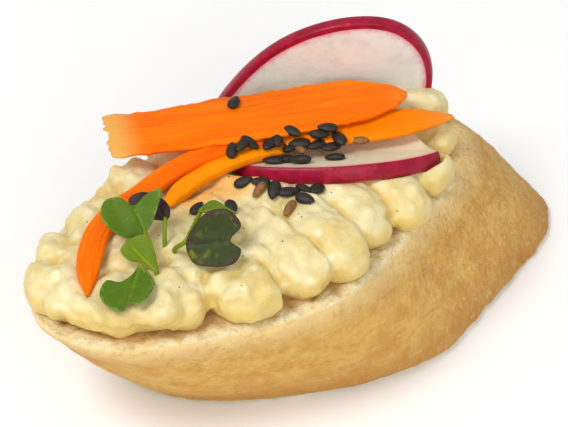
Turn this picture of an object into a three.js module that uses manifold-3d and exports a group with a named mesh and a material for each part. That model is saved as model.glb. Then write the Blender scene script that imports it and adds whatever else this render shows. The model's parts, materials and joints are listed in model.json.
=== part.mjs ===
// An open sandwich: a slanting slice of a small baguette, egg spread laid on it in finger strokes,
// two radish slices, carrot ribbons and strips, and radish shoots.
// Millimetres, +Z up. The lower cut face stands on z = 0 with the origin at its middle, and +X is
// the long way of the slice. The front, with the scalloped edge of the spread, is -Y.
import * as THREE from "three";
import { mergeVertices } from "three/addons/utils/BufferGeometryUtils.js";
import Module from "manifold-3d";

const wasm = await Module();
wasm.setup();

// ---- Driving dimensions ----
const SLICE_HEIGHT = 22; // lower cut face to upper cut face
const SEAT_GAP = 0.3; // clearance between touching pieces
const SPREAD_RISE = 6.5; // height of the middle of the spread above the bread
const UPRIGHT_THICKNESS = 1.9;
const LYING_THICKNESS = 2.4;
const CARROT_THICKNESS = 0.9;
const LEAF_THICKNESS = 0.5;
const STEM_RADIUS = 0.65;

// The cut runs slantwise through the loaf, so the upper face lies further to -X than the lower one.
// Both outlines run anticlockwise from the right-hand tip, point for point along the crust.
const LOWER_FACE = [
  [37.8, -5.4], [36, 7], [27, 15.6], [12, 20.5], [-5, 21.8], [-22, 18.5], [-33, 11.5],
  [-38.6, 3], [-34.8, -6.4], [-22.2, -15.8], [0, -22.8], [15.5, -18.4], [32.4, -12.9],
];
const UPPER_FACE = [
  [21, 0], [18, 9.5], [9, 16], [-5, 20.6], [-20, 21.8], [-35, 19.2], [-48, 12.5],
  [-56, 2.5], [-52.5, -8.2], [-39, -16.7], [-21, -21.6], [-2, -17], [12.8, -11],
];
const OUTLINE_STEPS = 65;
const CRUST_BULGE = 0.5;

// Each stroke of spread: inner end x, y; outer end x, y; half width; height above the bread.
const STROKES = [
  [-33, -3, -30.8, -13.2, 5.8, 6.4],
  [-23.5, -3, -22.2, -15.4, 4.3, 6.6],
  [-16, -3, -16.2, -16, 4.9, 6.8],
  [-9, -3, -8.8, -13, 4.4, 6.4],
  [-2, -2, -1.6, -13.6, 4.6, 6.2],
  [5, -1, 6, -10.4, 4, 5.8],
  [11.5, 1, 13, -5.2, 3.2, 5.2],
  [12, 5, 17.6, 1.4, 3.2, 5],
  [-46, 4, -50.2, 3.8, 4.8, 5.6],
  [-50, 2, -47.2, -2.8, 4.3, 6.2],
  [-46.5, -4, -39.8, -8.8, 4.7, 6.4],
  [-43, 5, -45.4, 8.8, 4.2, 4.8],
  [-36.5, 6, -38, 11.8, 3.8, 5],
  [-29, 6, -29.6, 14.2, 4.8, 5.8],
  [-19.5, 4, -20, 14.6, 5.4, 6.2],
  [-9, 4, -9.2, 14.4, 5.4, 6.2],
  [2, 4, 2.2, 12, 5.2, 6],
];
// The low mound that the strokes grow out of.
const MOUNDS = [
  [-42, 1, -2, 2, 11, SPREAD_RISE],
  [-30, 1, 8, 1, 9.5, SPREAD_RISE],
];

// Upright slice: its middle, size and attitude. The flat lower edge stands in the spread.
const UPRIGHT = {
  middle: [5, 11, 25], azimuth: -40, lean: 4,
  oval: { x: -1.8, y: -5.3, long: 23, short: 14.8, turn: 56.5 }, foot: -0.5,
};
// Part of a slice pressed into the spread, with its skin to the front and lifted by the tilt.
const LYING = {
  middle: [-3.95, -4.63, 26], radius: 18, centre: 12, back: 4, end: -40, azimuth: -34, tilt: 25.8,
};

// Ribbons and strips: [x, y, z, half width] along each middle line.
const RIBBON_WIDE = [
  [-29.2, 19.3, 31.2, 4.1], [-23.6, 16.3, 31, 4.6], [-16.9, 13.2, 30.9, 5.1], [-10.1, 10, 30.9, 5.4],
  [-3.6, 6.6, 31, 5.4], [2, 4.1, 31, 5], [6, 2, 31, 3.8], [10.6, -0.6, 31, 0.9],
];
const RIBBON_RIGHT = [
  [-4.8, 4.6, 29.7, 3.6], [0.3, 0.9, 29.6, 3.6], [5.2, -2.6, 29.6, 3.4], [9.8, -4.9, 29.4, 2.2],
  [14.6, -7.2, 28.8, 0.5],
];
const STRIP_CURVED = [
  [-12.4, 7.2, 29.7, 1.9], [-16.5, 8.2, 29.7, 2], [-21, 9.2, 29.7, 2], [-26.1, 9.4, 29.5, 2],
  [-31.5, 8.3, 29.3, 2], [-36.8, 6.8, 29.1, 1.8], [-41.1, 4.7, 29.1, 1.8], [-45.3, 2, 28.9, 1.8],
  [-48, -0.4, 28.3, 1.5], [-49.2, -2.8, 27.2, 0.5],
];
const STRIP_SHORT = [
  [-14.4, 3.9, 29.6, 1.4], [-17.6, 4.4, 29.5, 1.6], [-20.6, 4.7, 29.4, 1.6], [-24, 4.8, 29.2, 1.6],
  [-27.5, 4.4, 29, 1.5], [-30.8, 3.6, 28.8, 1.1],
];

// Shoots: a stem path and its seed leaves. Each leaf has a foot on the stem, the place of its notch,
// the way it faces, and an outline of [along the leaf, sideways] from the foot.
const SHOOTS = {
  shoot_green: {
    look: "leaf",
    stem: [[-40.9, -7.2, 26.5], [-40.7, -6.7, 29], [-39.6, -3.8, 30.2], [-38, -0.6, 31.1]],
    leaves: [
      {
        foot: [-38.1, -0.9, 31], notch: [-37.6, 2.4, 33.6], face: [-0.42, -0.52, 0.74],
        outline: [[0, 0], [0.2, 2.6], [1.8, 4.1], [4.4, 4.8], [6.3, 3.4], [6, 1.4], [4.1, 0], [4.8, -2.3],
          [4.6, -4.4], [2, -2.6]],
      },
      {
        foot: [-40.7, -6.7, 29], notch: [-41.8, -2, 31.6], face: [-0.42, -0.52, 0.74],
        outline: [[0, 0], [2.3, 0.6], [3.9, 1.6], [5.7, 1.4], [5.5, -1.7], [4.3, -2.6], [2.4, -1.9]],
      },
    ],
  },
  shoot_low: {
    look: "leaf",
    stem: [[-42.4, -8.2, 26.5], [-42.3, -7.6, 29], [-42.7, -5.5, 30.7]],
    leaves: [
      {
        foot: [-42.7, -5.7, 30.6], notch: [-47.8, -9.4, 29.1], face: [-0.14, -0.2, 0.97],
        outline: [[0, 0], [2.8, 2.7], [6, 1.9], [6.5, 0], [7.8, -0.2], [8.1, -1.6], [6.5, -3.9], [3.8, -3.7],
          [3.3, -1.8], [1.9, -0.7]],
      },
    ],
  },
  shoot_purple: {
    look: "dark_leaf",
    stem: [[-37.3, -4, 26.5], [-36.9, -3.6, 28.3], [-35.6, -2, 29.9], [-34.2, -0.4, 31.2]],
    leaves: [
      {
        foot: [-34.4, -0.7, 30.9], notch: [-34.4, 3.1, 33.6], face: [-0.42, -0.52, 0.74],
        outline: [[0, -0.3], [0.8, 1.1], [2.6, 3.1], [5.3, 2.8], [5.4, 1.3], [4.8, 0.1], [3.6, -0.9],
          [2.1, -1.5], [0.8, -1.3]],
      },
    ],
  },
  shoot_dark: {
    look: "dark_leaf",
    stem: [[-36.3, -5.2, 26.5], [-36.4, -5.1, 28.6], [-35, -6, 31], [-32.5, -5, 32.3], [-30.6, -4.2, 33.3]],
    leaves: [
      {
        foot: [-35.1, -6.5, 31.1], notch: [-30.5, -10.5, 31.6], face: [-0.5, -0.55, 0.65],
        outline: [[-0.2, -0.2], [1.3, 2.6], [3.3, 4.2], [6, 4.2], [7.6, 2], [6, 0], [7.4, -1.4], [6.4, -3.2],
          [3.2, -3.5], [0.7, -2.8]],
      },
      {
        foot: [-30.8, -4.2, 33.2], notch: [-28.4, -9, 34.5], face: [0.1, 0.3, 0.95],
        outline: [[-0.4, -0.3], [-0.4, 1.3], [0.5, 2.9], [3.2, 1.5], [5.7, -0.2], [3, -0.9], [0.6, -1]],
      },
    ],
  },
};

// ---- Looks ----
const LOOKS = {
  crust: { color: 0xd3a85c, roughness: 0.75 },
  spread: { color: 0xebdfae, roughness: 0.45 },
  radish: { color: 0xdacec4, roughness: 0.35 },
  carrot: { color: 0xf67300, roughness: 0.4 },
  leaf: { color: 0x5e7823, roughness: 0.5 },
  dark_leaf: { color: 0x444a2a, roughness: 0.5 },
};

// ---- Building blocks ----
const vector = (p) => new THREE.Vector3(p[0], p[1], p[2]);
const radians = THREE.MathUtils.degToRad;

// Turns a triangle list inside out where its volume comes out negative.
function faceOut(positions, index) {
  let volume = 0;
  for (let i = 0; i < index.length; i += 3) {
    const [a, b, c] = [0, 1, 2].map((k) => new THREE.Vector3().fromArray(positions, 3 * index[i + k]));
    volume += a.dot(b.cross(c));
  }
  if (volume >= 0) return index;
  for (let i = 0; i < index.length; i += 3) [index[i + 1], index[i + 2]] = [index[i + 2], index[i + 1]];
  return index;
}

function indexed(positions, index) {
  const geometry = new THREE.BufferGeometry();
  geometry.setAttribute("position", new THREE.Float32BufferAttribute(positions, 3));
  geometry.setIndex(faceOut(positions, index));
  return geometry;
}

// A closed body through rings of equal length, each end shut by a fan.
function loft(rings) {
  const count = rings[0].length;
  const positions = rings.flat().flatMap((p) => p.toArray());
  const index = [];
  for (let r = 0; r + 1 < rings.length; r++) {
    for (let i = 0; i < count; i++) {
      const a = r * count + i;
      const b = r * count + ((i + 1) % count);
      index.push(a, b, b + count, a, b + count, a + count);
    }
  }
  for (const [ring, start] of [[rings[0], 0], [rings.at(-1), (rings.length - 1) * count]]) {
    const middle = ring.reduce((sum, p) => sum.add(p), new THREE.Vector3()).divideScalar(count);
    const hub = positions.length / 3;
    positions.push(...middle.toArray());
    for (let i = 0; i < count; i++) {
      const edge = [start + i, start + ((i + 1) % count)];
      if (start === 0) edge.reverse();
      index.push(edge[0], edge[1], hub);
    }
  }
  return indexed(positions, index);
}

// A closed sheet of even thickness about a grid of { point, normal }.
function slab(grid, thickness) {
  const rings = grid.map((row) => {
    const half = thickness / 2;
    const upper = row.map(({ point, normal }) => point.clone().addScaledVector(normal, half));
    const lower = row.map(({ point, normal }) => point.clone().addScaledVector(normal, -half));
    return [...upper, ...lower.reverse()];
  });
  const count = rings[0].length;
  const wide = count / 2;
  const positions = rings.flat().flatMap((p) => p.toArray());
  const index = [];
  for (let r = 0; r + 1 < rings.length; r++) {
    for (let i = 0; i < count; i++) {
      const a = r * count + i;
      const b = r * count + ((i + 1) % count);
      index.push(a, b, b + count, a, b + count, a + count);
    }
  }
  for (const start of [0, (rings.length - 1) * count]) {
    for (let i = 0; i + 1 < wide; i++) {
      const corners = [start + i, start + i + 1, start + count - 2 - i, start + count - 1 - i];
      if (start === 0) corners.reverse();
      index.push(corners[0], corners[1], corners[2], corners[0], corners[2], corners[3]);
    }
  }
  return indexed(positions, index);
}

function solid(geometry) {
  const bare = geometry.clone();
  for (const name of Object.keys(bare.attributes)) if (name !== "position") bare.deleteAttribute(name);
  const merged = mergeVertices(bare, 1e-4);
  return new wasm.Manifold(new wasm.Mesh({
    numProp: 3,
    vertProperties: new Float32Array(merged.attributes.position.array),
    triVerts: new Uint32Array(merged.index.array),
  }));
}

function geometryOf(body) {
  const mesh = body.getMesh();
  return indexed(Array.from(mesh.vertProperties), Array.from(mesh.triVerts));
}

const joined = (geometries) => geometries.map(solid).reduce((whole, piece) => whole.add(piece));

// ---- Bread ----
function faceOutline(points, height) {
  const corners = points.map(([x, y]) => new THREE.Vector3(x, y, height));
  const curve = new THREE.CatmullRomCurve3(corners, true, "centripetal");
  return Array.from({ length: OUTLINE_STEPS }, (_, i) => curve.getPoint(i / OUTLINE_STEPS));
}

// Share of the height and inset from the crust for each ring, with both cut edges rounded off.
const BREAD_RINGS = [
  [0, 1], [0.015, 0.4], [0.05, 0], [0.16, 0], [0.32, 0], [0.5, 0], [0.68, 0], [0.84, 0], [0.95, 0.05],
  [0.985, 0.25], [1, 0.8],
];

function breadGeometry() {
  const lower = faceOutline(LOWER_FACE, 0);
  const upper = faceOutline(UPPER_FACE, SLICE_HEIGHT);
  const rings = BREAD_RINGS.map(([share, inset]) => {
    const middle = new THREE.Vector3();
    const ring = lower.map((p, i) => p.clone().lerp(upper[i], share));
    ring.forEach((p) => middle.addScaledVector(p, 1 / ring.length));
    return ring.map((p) => {
      const out = p.clone().sub(middle);
      const reach = out.length();
      const swell = CRUST_BULGE * Math.sin(Math.PI * share) - inset;
      return middle.clone().addScaledVector(out, 1 + swell / reach);
    });
  });
  return loft(rings);
}

// ---- Spread ----
const BEAD_STEPS = 4;
const BEAD_SIDES = 12;
const BEAD_WAIST = 0.4; // share of the height at which a stroke is widest

// A rounded finger whose widest line lies above the bread, so that its sides tuck under.
function bead([x0, y0, x1, y1, halfWidth, height]) {
  const start = new THREE.Vector3(x0, y0, 0);
  const end = new THREE.Vector3(x1, y1, 0);
  const along = end.clone().sub(start).normalize();
  const side = new THREE.Vector3(-along.y, along.x, 0);
  const waist = SLICE_HEIGHT + BEAD_WAIST * height;
  const rise = (1 - BEAD_WAIST) * height;
  const ringAt = (centre, shrink) => Array.from({ length: BEAD_SIDES }, (_, i) => {
    const turn = (2 * Math.PI * i) / BEAD_SIDES;
    const p = centre.clone().addScaledVector(side, halfWidth * shrink * Math.cos(turn));
    return p.setZ(waist + rise * shrink * Math.sin(turn));
  });
  const rings = [];
  for (let i = 1; i <= BEAD_STEPS; i++) {
    const turn = (Math.PI / 2) * (i / BEAD_STEPS);
    rings.push(ringAt(start.clone().addScaledVector(along, -halfWidth * Math.cos(turn)), Math.sin(turn)));
  }
  for (let i = BEAD_STEPS; i >= 1; i--) {
    const turn = (Math.PI / 2) * (i / BEAD_STEPS);
    rings.push(ringAt(end.clone().addScaledVector(along, halfWidth * Math.cos(turn)), Math.sin(turn)));
  }
  return loft(rings);
}

function spreadGeometry(toppings) {
  const airBox = new THREE.BoxGeometry(200, 200, 100).translate(0, 0, SLICE_HEIGHT + 50);
  let body = joined([...MOUNDS, ...STROKES].map(bead)).intersect(solid(airBox));
  for (const topping of toppings) body = body.subtract(topping);
  return geometryOf(body);
}

// ---- Radish ----
const RADISH_SEGMENTS = 32;

// An oval slice cut off straight along its foot; extra widens it all round for a clearance.
function uprightGeometry(extra = 0) {
  const { x, y, long, short, turn } = UPRIGHT.oval;
  const foot = UPRIGHT.foot - extra;
  const oval = Array.from({ length: 2 * RADISH_SEGMENTS }, (_, i) => {
    const t = (Math.PI * i) / RADISH_SEGMENTS;
    const point = new THREE.Vector2((long + extra) * Math.cos(t), (short + extra) * Math.sin(t));
    return point.rotateAround(new THREE.Vector2(), radians(turn)).add(new THREE.Vector2(x, y));
  });
  const rim = [];
  oval.forEach((point, i) => {
    const before = oval.at(i - 1);
    if (before.y < foot !== point.y < foot) {
      rim.push(before.clone().lerp(point, (foot - before.y) / (point.y - before.y)));
    }
    if (point.y > foot) rim.push(point);
  });
  const depth = UPRIGHT_THICKNESS + 2 * extra;
  const options = { depth, bevelEnabled: false };
  return new THREE.ExtrudeGeometry(new THREE.Shape(rim), options).translate(0, 0, extra - depth);
}

// A rounded front cut straight along its back and square across its right-hand end.
function lyingGeometry(extra = 0) {
  const { centre } = LYING;
  const radius = LYING.radius + extra;
  const back = LYING.back + extra;
  const end = radians(LYING.end) + extra / radius;
  const start = -Math.PI - Math.asin((back - centre) / radius);
  const rim = Array.from({ length: RADISH_SEGMENTS + 1 }, (_, i) => {
    const t = start + (end - start) * (i / RADISH_SEGMENTS);
    return new THREE.Vector2(radius * Math.cos(t), centre + radius * Math.sin(t));
  });
  const inward = (centre - back) / -Math.sin(end);
  rim.push(new THREE.Vector2(inward * Math.cos(end), back));
  const options = { depth: LYING_THICKNESS + 2 * extra, bevelEnabled: false };
  return new THREE.ExtrudeGeometry(new THREE.Shape(rim), options).translate(0, 0, -extra);
}

// ---- Carrot ----
const RIBBON_STEPS = 22;

// A sheet swept along a middle line and split across; its ends are torn in teeth of the given length.
function ribbonGeometry({ rows, torn, splits }, extra = 0) {
  const path = new THREE.CatmullRomCurve3(rows.map(vector), false, "centripetal");
  const widths = new THREE.CatmullRomCurve3(rows.map((row) => new THREE.Vector3(row[3], 0, 0)));
  const grid = [];
  for (let i = 0; i <= RIBBON_STEPS; i++) {
    const u = i / RIBBON_STEPS;
    const point = path.getPoint(u);
    const tangent = path.getTangent(u);
    const side = new THREE.Vector3(-tangent.y, tangent.x, 0).normalize();
    const normal = tangent.clone().cross(side).normalize();
    const reach = widths.getPoint(u).x + extra;
    const row = [];
    for (let j = 0; j <= splits; j++) {
      const v = (2 * j) / splits - 1;
      const tooth = torn * (j % 2 === 0 ? 1 : -1) * (Math.abs(2 * u - 1) ** 24) * Math.sign(2 * u - 1);
      const shift = tooth + extra * (2 * u - 1);
      const at = point.clone().addScaledVector(side, v * reach).addScaledVector(tangent, shift);
      row.push({ point: at, normal });
    }
    grid.push(row);
  }
  return slab(grid, CARROT_THICKNESS + 2 * extra);
}

// ---- Shoots ----
const LEAF_EDGE_STEPS = 22;
const LEAF_RINGS = [0.45, 0.8, 1];
const LEAF_CUP = 0.035;

// A seed leaf: its outline drawn in its own plane, cupped towards the face, with even thickness.
function leafGeometry({ foot, notch, face, outline }, extra = 0) {
  const base = vector(foot);
  const along = vector(notch).sub(base).normalize();
  const side = vector(face).cross(along).normalize();
  const normal = along.clone().cross(side);
  const corners = outline.map(([x, y]) => new THREE.Vector3(x, y, 0));
  const edge = new THREE.CatmullRomCurve3(corners, true, "centripetal");
  const rim = Array.from({ length: LEAF_EDGE_STEPS }, (_, i) => edge.getPoint(i / LEAF_EDGE_STEPS));
  const middle = rim.reduce((sum, p) => sum.addScaledVector(p, 1 / rim.length), new THREE.Vector3());
  const place = (p, lift) => {
    const cup = LEAF_CUP * p.y * p.y + lift;
    return base.clone().addScaledVector(along, p.x).addScaledVector(side, p.y).addScaledVector(normal, cup);
  };
  const half = LEAF_THICKNESS / 2 + extra;
  const ring = (share, lift) => rim.map((p) => {
    const grown = share + extra / p.distanceTo(middle);
    return place(middle.clone().lerp(p, grown), lift);
  });
  const under = LEAF_RINGS.map((share) => ring(share, -half));
  const over = LEAF_RINGS.map((share) => ring(share, half)).reverse();
  return loft([...under, ...over]);
}

const STEM_SIDES = 8;
const STEM_STEPS = 8;

function stemGeometry(points, extra = 0) {
  const corners = points.map(vector);
  corners[0].z -= extra;
  const path = new THREE.CatmullRomCurve3(corners);
  const section = Array.from({ length: STEM_SIDES }, (_, i) => {
    const corner = new THREE.Vector2(STEM_RADIUS + extra, 0);
    return corner.rotateAround(new THREE.Vector2(), (2 * Math.PI * i) / STEM_SIDES);
  });
  return new THREE.ExtrudeGeometry(new THREE.Shape(section), { steps: STEM_STEPS, extrudePath: path });
}

function shootBody({ stem, leaves }, extra = 0) {
  return joined([stemGeometry(stem, extra), ...leaves.map((leaf) => leafGeometry(leaf, extra))]);
}

// ---- Assembly ----
const sandwich = new THREE.Group();

function add(name, geometry, look) {
  const mesh = new THREE.Mesh(geometry, new THREE.MeshStandardMaterial({ ...LOOKS[look], metalness: 0 }));
  mesh.name = name;
  sandwich.add(mesh);
  return mesh;
}

// Stands a flat slice up at its place: pitch lifts its face, azimuth turns it about the vertical.
function pose(object, middle, pitch, azimuth) {
  object.rotation.set(radians(pitch), 0, radians(azimuth), "ZXY");
  object.position.set(...middle);
  return object;
}

const poseUpright = (object) => pose(object, UPRIGHT.middle, 90 + UPRIGHT.lean, UPRIGHT.azimuth);
const poseLying = (object) => pose(object, LYING.middle, -LYING.tilt, LYING.azimuth);

function placedSolid(geometry, place) {
  const holder = place(new THREE.Object3D());
  holder.updateMatrix();
  return solid(geometry.clone().applyMatrix4(holder.matrix));
}

const ribbons = {
  carrot_ribbon_wide: { rows: RIBBON_WIDE, torn: 0.5, splits: 8 },
  carrot_ribbon_right: { rows: RIBBON_RIGHT, torn: 0, splits: 2 },
  carrot_strip_curved: { rows: STRIP_CURVED, torn: 0, splits: 2 },
  carrot_strip_short: { rows: STRIP_SHORT, torn: 0, splits: 2 },
};

const clearances = [
  placedSolid(uprightGeometry(SEAT_GAP), poseUpright),
  placedSolid(lyingGeometry(SEAT_GAP), poseLying),
  ...Object.values(ribbons).map((ribbon) => solid(ribbonGeometry(ribbon, SEAT_GAP))),
  ...Object.values(SHOOTS).map((shoot) => shootBody(shoot, SEAT_GAP)),
];

add("bread", breadGeometry(), "crust");
add("spread", spreadGeometry(clearances), "spread");
poseUpright(add("radish_slice_upright", uprightGeometry(), "radish"));
poseLying(add("radish_slice_lying", lyingGeometry(), "radish"));
for (const [name, ribbon] of Object.entries(ribbons)) add(name, ribbonGeometry(ribbon), "carrot");
for (const [name, shoot] of Object.entries(SHOOTS)) {
  add(name, geometryOf(shootBody(shoot)), shoot.look);
}

export default sandwich;
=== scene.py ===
"""Looks for an open sandwich: bread, egg spread, radish slices, carrot ribbons, shoots and sesame.

Shapes are worked out in millimetres in the frame's own axes, and become metres when a piece is made.
"""
import json
import math
import random
from itertools import product

import bpy
import numpy as np
from mathutils import Matrix, Vector
from mathutils.bvhtree import BVHTree

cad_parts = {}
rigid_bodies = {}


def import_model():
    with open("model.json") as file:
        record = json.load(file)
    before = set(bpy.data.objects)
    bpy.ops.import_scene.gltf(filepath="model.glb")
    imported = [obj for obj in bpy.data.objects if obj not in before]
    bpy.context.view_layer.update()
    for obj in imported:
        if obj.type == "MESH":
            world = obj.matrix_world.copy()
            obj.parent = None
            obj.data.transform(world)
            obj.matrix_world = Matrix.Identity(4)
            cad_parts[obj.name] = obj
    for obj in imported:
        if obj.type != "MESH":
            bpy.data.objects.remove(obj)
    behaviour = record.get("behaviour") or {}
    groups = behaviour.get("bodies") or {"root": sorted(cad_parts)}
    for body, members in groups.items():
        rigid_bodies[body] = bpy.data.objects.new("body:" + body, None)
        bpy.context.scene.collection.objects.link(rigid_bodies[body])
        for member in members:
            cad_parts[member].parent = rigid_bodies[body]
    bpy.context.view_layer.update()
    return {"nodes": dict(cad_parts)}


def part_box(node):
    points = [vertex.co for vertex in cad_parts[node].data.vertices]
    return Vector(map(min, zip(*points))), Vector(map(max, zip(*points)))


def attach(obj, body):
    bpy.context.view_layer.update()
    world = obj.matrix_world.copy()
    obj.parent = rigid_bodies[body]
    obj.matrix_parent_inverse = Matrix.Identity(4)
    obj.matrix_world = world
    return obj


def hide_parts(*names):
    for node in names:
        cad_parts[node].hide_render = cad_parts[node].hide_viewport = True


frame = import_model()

MM = 0.001
TOP = 1000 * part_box("bread")[1].z  # height of the upper cut face
EDGE_DEPTH = 1.2  # how far below it the crust's edge reaches
BODY = "root"


# ---- Arrays and noise ----
def unit(rows):
    rows = np.asarray(rows, float)
    return rows / np.maximum(np.linalg.norm(rows, axis=-1, keepdims=True), 1e-9)


def smoothstep(low, high, x):
    t = np.clip((np.asarray(x, float) - low) / (high - low), 0, 1)
    return t * t * (3 - 2 * t)


def lattice(cells, seed):
    """A steady pseudo-random number from 0 to 1 for each whole-number cell."""
    c = cells.astype(np.int64)
    h = (c[..., 0] * 73856093) ^ (c[..., 1] * 19349663) ^ (c[..., 2] * 83492791) ^ (seed * 2654435761)
    h = (h ^ (h >> 13)) * 1274126177
    return ((h ^ (h >> 16)) & 0xFFFFFF) / float(0x1000000)


def soft_noise(points, size, seed):
    """Smooth noise from -1 to 1 whose features are about size across."""
    p = np.asarray(points, float) / size
    base = np.floor(p)
    f = p - base
    f = f * f * (3 - 2 * f)
    total = np.zeros(len(p))
    for dx, dy, dz in product((0, 1), repeat=3):
        weight = np.abs(1 - dx - f[:, 0]) * np.abs(1 - dy - f[:, 1]) * np.abs(1 - dz - f[:, 2])
        total += weight * lattice(base + (dx, dy, dz), seed)
    return 2 * total - 1


def cell_bumps(points, size, seed):
    """Rounded lumps: 1 at scattered centres, falling to 0 between them."""
    p = np.asarray(points, float) / size
    base = np.floor(p)
    nearest = np.full(len(p), 9.0)
    for step in product((-1, 0, 1), repeat=3):
        cell = base + step
        centre = cell + np.stack([lattice(cell, seed + k) for k in (1, 2, 3)], -1)
        nearest = np.minimum(nearest, ((p - centre) ** 2).sum(-1))
    return np.clip(1 - np.sqrt(nearest) / 0.75, 0, 1)


# ---- Meshes ----
def mesh_arrays(mesh):
    points = np.empty(len(mesh.vertices) * 3)
    mesh.vertices.foreach_get("co", points)
    return points.reshape(-1, 3), [tuple(f.vertices) for f in mesh.polygons]


def vertex_normals(points, faces):
    """Area-weighted vertex normals of a mesh of quads and triangles."""
    quads = np.array([f if len(f) == 4 else (*f, f[2]) for f in faces])
    a, b, c, d = (points[quads[:, k]] for k in range(4))
    face = np.cross(c - a, d - b)
    normals = np.zeros_like(points)
    for k in range(4):
        np.add.at(normals, quads[:, k], face)
    return unit(normals)


def edges_of(faces):
    pairs = {(min(a, b), max(a, b)) for f in faces for a, b in zip(f, (*f[1:], f[0]))}
    return np.array(sorted(pairs))


def relax(values, edges, rounds, share=0.5):
    """Moves each value towards the mean of its neighbours."""
    values = np.array(values, float)
    flat = values.ndim == 1
    if flat:
        values = values[:, None]
    count = np.bincount(edges.ravel(), minlength=len(values))[:, None]
    for _ in range(rounds):
        total = np.zeros_like(values)
        np.add.at(total, edges[:, 0], values[edges[:, 1]])
        np.add.at(total, edges[:, 1], values[edges[:, 0]])
        values += share * (total / np.maximum(count, 1) - values)
    return values[:, 0] if flat else values


def new_mesh(name, points, faces):
    mesh = bpy.data.meshes.new(name)
    mesh.from_pydata([tuple(p) for p in points], [], [tuple(f) for f in faces])
    return mesh


def new_object(name, data):
    thing = bpy.data.objects.new(name, data)
    bpy.context.scene.collection.objects.link(thing)
    return thing


def voxel_skin(points, faces, voxel):
    """One closed even skin round any number of overlapping closed shells."""
    mesh = new_mesh("shells", points, faces)
    shells = new_object("shells", mesh)
    remesh = shells.modifiers.new("remesh", "REMESH")
    remesh.mode = "VOXEL"
    remesh.voxel_size = voxel
    done = shells.evaluated_get(bpy.context.evaluated_depsgraph_get())
    result = mesh_arrays(done.data)
    bpy.data.objects.remove(shells)
    bpy.data.meshes.remove(mesh)
    return result


def make_piece(name, points, faces, material, replaces=(), marks=None):
    """A smooth piece in metres that rides on the body, with a number or a vector marked on each point."""
    mesh = new_mesh(name, np.asarray(points) * MM, faces)
    for key, values in (marks or {}).items():
        values = np.asarray(values, float)
        kind = "FLOAT" if values.ndim == 1 else "FLOAT_VECTOR"
        mark = mesh.attributes.new(key, kind, "POINT")
        mark.data.foreach_set("value" if values.ndim == 1 else "vector", values.ravel())
    mesh.polygons.foreach_set("use_smooth", [True] * len(mesh.polygons))
    mesh.materials.append(material)
    piece = new_object(name, mesh)
    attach(piece, BODY)
    if replaces:
        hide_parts(*replaces)


def join_arrays(shells):
    points, faces, start = [], [], 0
    for p, f in shells:
        points.append(np.asarray(p, float))
        faces += [tuple(i + start for i in face) for face in f]
        start += len(p)
    return np.concatenate(points), faces


def tube_faces(rows, count):
    """Quads between rows of rings, each of count points."""
    faces = []
    for start in range(0, (rows - 1) * count, count):
        for i in range(count):
            a = start + i
            b = start + (i + 1) % count
            faces.append((a, b, b + count, a + count))
    return faces


def loft(rings):
    """A tube through rings of equal length, with the ends closed by fans."""
    rings = [np.asarray(r, float) for r in rings]
    count = len(rings[0])
    points = list(np.concatenate(rings))
    faces = tube_faces(len(rings), count)
    for ring, start, flip in ((rings[0], 0, True), (rings[-1], (len(rings) - 1) * count, False)):
        hub = len(points)
        points.append(ring.mean(0))
        for i in range(count):
            edge = (start + i, start + (i + 1) % count)
            faces.append((*(edge[::-1] if flip else edge), hub))
    return np.array(points), face_out(np.array(points), faces)


def face_out(points, faces):
    """The faces of a closed mesh, turned over when they look inwards."""
    volume = 0
    for f in faces:
        for k in range(1, len(f) - 1):
            volume += np.dot(points[f[0]], np.cross(points[f[k]], points[f[k + 1]]))
    return faces if volume > 0 else [tuple(reversed(f)) for f in faces]


def round_turns(count):
    """Even angles once round."""
    return np.linspace(0, 2 * math.pi, count, endpoint=False)


def ways_along(path):
    return unit(np.gradient(path, axis=0))


def hoop(centre, side, up, wide, tall, sides):
    """A ring round a centre, wide to the side and tall upwards."""
    turns = round_turns(sides)
    return centre + np.outer(np.cos(turns), side) * wide + np.outer(np.sin(turns), up) * tall


def spline(corners, count, closed=False):
    """Points on a centripetal Catmull-Rom curve through the corners, of any dimension."""
    p = np.asarray(corners, float)
    if closed:
        p = np.concatenate([p[-1:], p, p[:2]])
    else:
        p = np.concatenate([2 * p[:1] - p[1:2], p, 2 * p[-1:] - p[-2:-1]])
    spans = len(p) - 3
    result = []
    for u in np.linspace(0, spans, count, endpoint=not closed):
        i = min(int(u), spans - 1)
        knots = [0.0]
        for k in range(i, i + 3):
            knots.append(knots[-1] + max(np.linalg.norm(p[k + 1] - p[k]), 1e-6) ** 0.5)
        t = knots[1] + (u - i) * (knots[2] - knots[1])

        def between(a, b, low, high):
            return a + (b - a) * (t - knots[low]) / (knots[high] - knots[low])

        a1, a2, a3 = (between(p[i + k], p[i + k + 1], k, k + 1) for k in range(3))
        result.append(between(between(a1, a2, 0, 2), between(a2, a3, 1, 3), 1, 2))
    return np.array(result)


# ---- Materials ----
def colour(r, g, b):
    """A display colour, 0 to 255, as linear light."""
    parts = [v / 255 for v in (r, g, b)]
    return (*[v / 12.92 if v <= 0.04045 else ((v + 0.055) / 1.055) ** 2.4 for v in parts], 1)


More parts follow.
